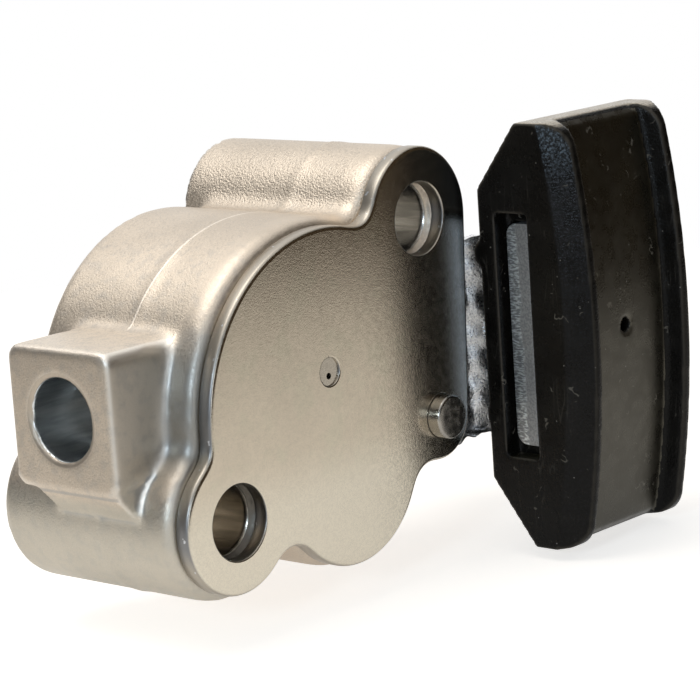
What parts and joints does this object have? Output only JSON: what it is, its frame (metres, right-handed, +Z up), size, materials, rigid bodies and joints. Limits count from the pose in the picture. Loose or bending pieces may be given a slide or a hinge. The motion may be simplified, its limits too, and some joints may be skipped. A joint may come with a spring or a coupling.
{
  "type": "timing chain tensioner",
  "caption": "Hydraulic timing chain tensioner: cast body with a steel cover plate, and a black nylon shoe on a spring-loaded plunger that presses on a chain.",
  "frame": {"origin": "midway between the two bolt axes, on the mounting face", "axes": "+Y out of the mounting face towards the engine, -Y the way the plunger and shoe move out, +Z up along the chain, +X from the feed tail towards the shoe"},
  "size_m": [0.084, 0.0473, 0.0538],
  "materials": {
    "cast_aluminium": "sand-cast, fine grain",
    "plate_steel": "satin, half mirror",
    "bright_steel": "ground bright",
    "sheet_steel": "stamped, sheared edges",
    "seat_steel": "ground",
    "spring_steel": "drawn wire",
    "seal_rubber": "smooth",
    "jet_steel": "turned",
    "filler_plastic": "moulded",
    "shoe_nylon": "moulded, slight sheen"
  },
  "bodies": {
    "body": {"housing": "cast_aluminium", "cover_plate": "plate_steel", "cover_dowel": "bright_steel", "cover_seal": "seal_rubber", "bleed_jet": "jet_steel", "feed_screen": "sheet_steel", "gallery_plug": "bright_steel", "valve_seat": "seat_steel", "valve_cage": "sheet_steel", "check_spring": "spring_steel", "plunger_spring": "spring_steel", "stop_ring": "spring_steel"},
    "plunger_set": {"plunger": "bright_steel", "volume_filler": "filler_plastic", "guide_pin": "bright_steel", "head_plate": "sheet_steel", "shoe": "shoe_nylon"},
    "ball": {"check_ball": "bright_steel"}
  },
  "joints": [
    {"name": "plunger_slide", "type": "slide", "parent": "body", "child": "plunger_set", "axis": [0, -1, 0], "range_m": [0, 0.009], "deforming": ["plunger_spring"]},
    {"name": "ball_lift", "type": "slide", "parent": "body", "child": "ball", "axis": [0, -1, 0], "range_m": [0, 0.0005], "stiffness_N_per_m": 100, "deforming": ["check_spring"]}
  ]
}
